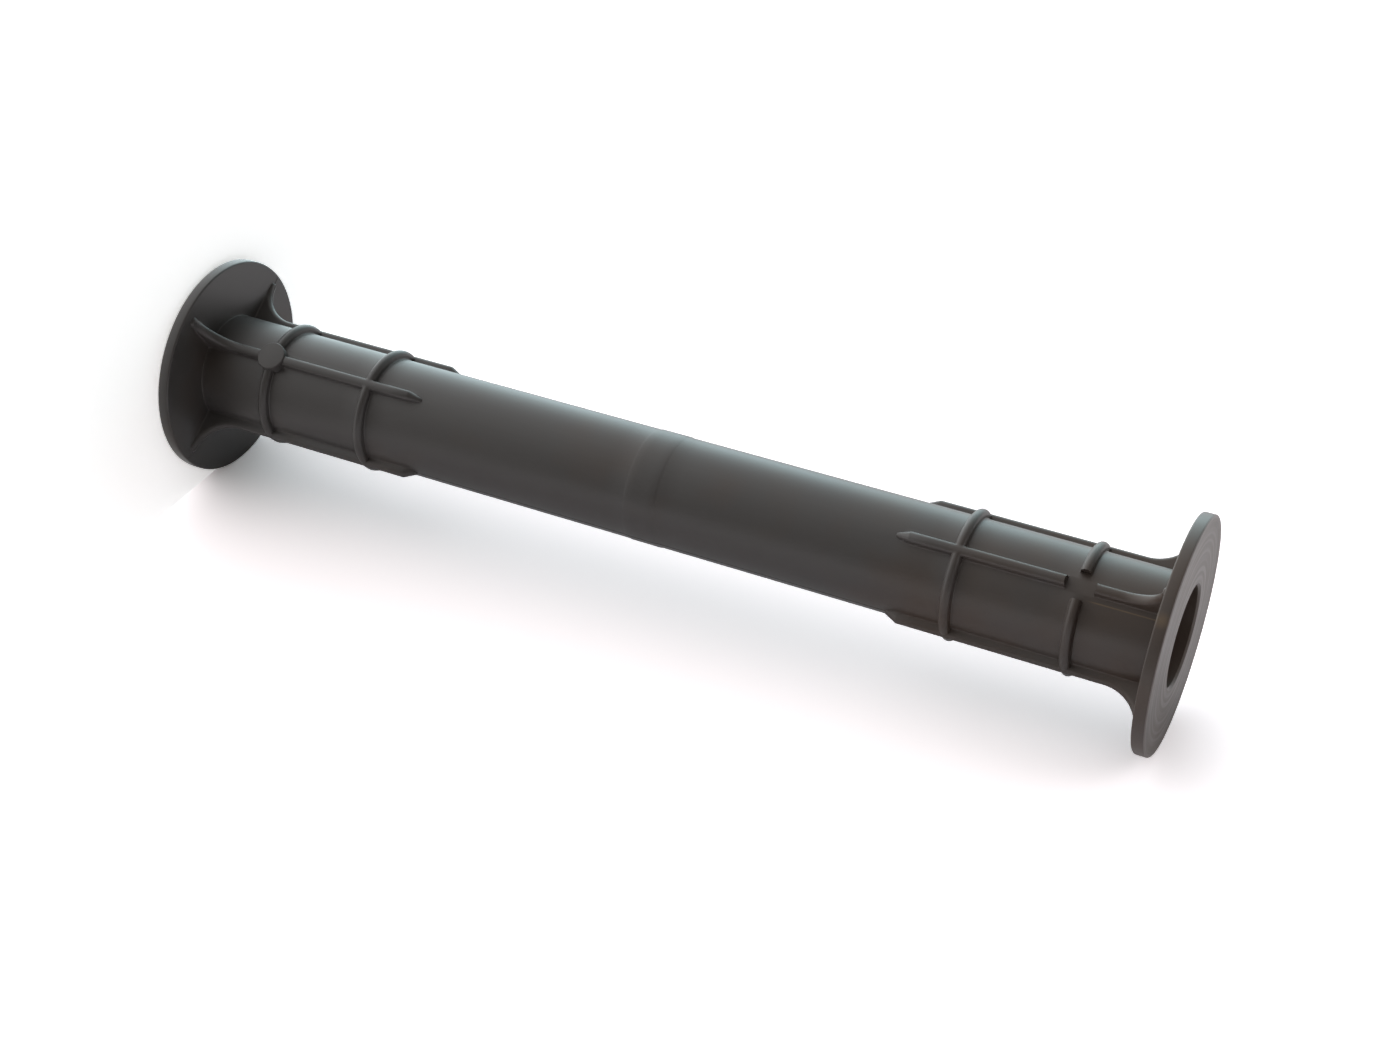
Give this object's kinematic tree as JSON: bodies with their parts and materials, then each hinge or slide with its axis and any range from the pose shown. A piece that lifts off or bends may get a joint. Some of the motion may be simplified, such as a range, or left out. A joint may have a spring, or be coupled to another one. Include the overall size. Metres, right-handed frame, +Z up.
{
  "type": "formwork spacer tube",
  "caption": "Flanged plastic spacer tube with stiffening ribs and rings at both ends, which holds formwork faces apart round a tie rod.",
  "frame": {"origin": "centre of the lower flange's outer face", "axes": "+Z runs up the tube to the upper flange, -Y faces the rib that carries the round pad, X lies in the mould's parting plane"},
  "size_m": [0.0436, 0.0436, 0.2],
  "materials": {
    "moulded_plastic": "satin dark grey, as moulded"
  },
  "bodies": {
    "root": {"spacer_tube": "moulded_plastic"}
  },
  "joints": []
}
